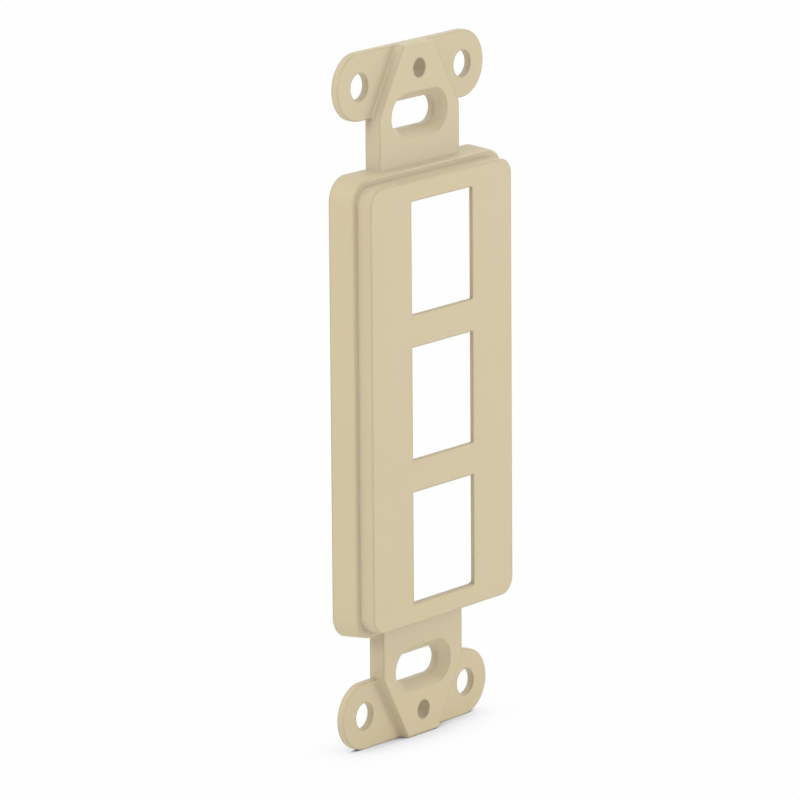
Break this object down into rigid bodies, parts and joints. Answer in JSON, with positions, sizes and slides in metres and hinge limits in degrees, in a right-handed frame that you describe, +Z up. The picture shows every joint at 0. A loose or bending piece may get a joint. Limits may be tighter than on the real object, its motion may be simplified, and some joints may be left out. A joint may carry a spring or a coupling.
{
  "type": "keystone faceplate",
  "caption": "Moulded insert for a rectangular-opening wall plate, with a row of keystone jack windows, screw slots and thin rounded ears on its strap.",
  "frame": {"origin": "centre of the part, in the plane of the strap's back, which is also the centre of the four ear holes", "axes": "+Z up the part's length, +X across its width, +Y towards the wall, so the face looks to -Y"},
  "size_m": [0.0358, 0.0094, 0.1042],
  "materials": {
    "moulded_abs": "fine satin, warm ivory"
  },
  "bodies": {
    "root": {"faceplate": "moulded_abs"}
  },
  "joints": []
}
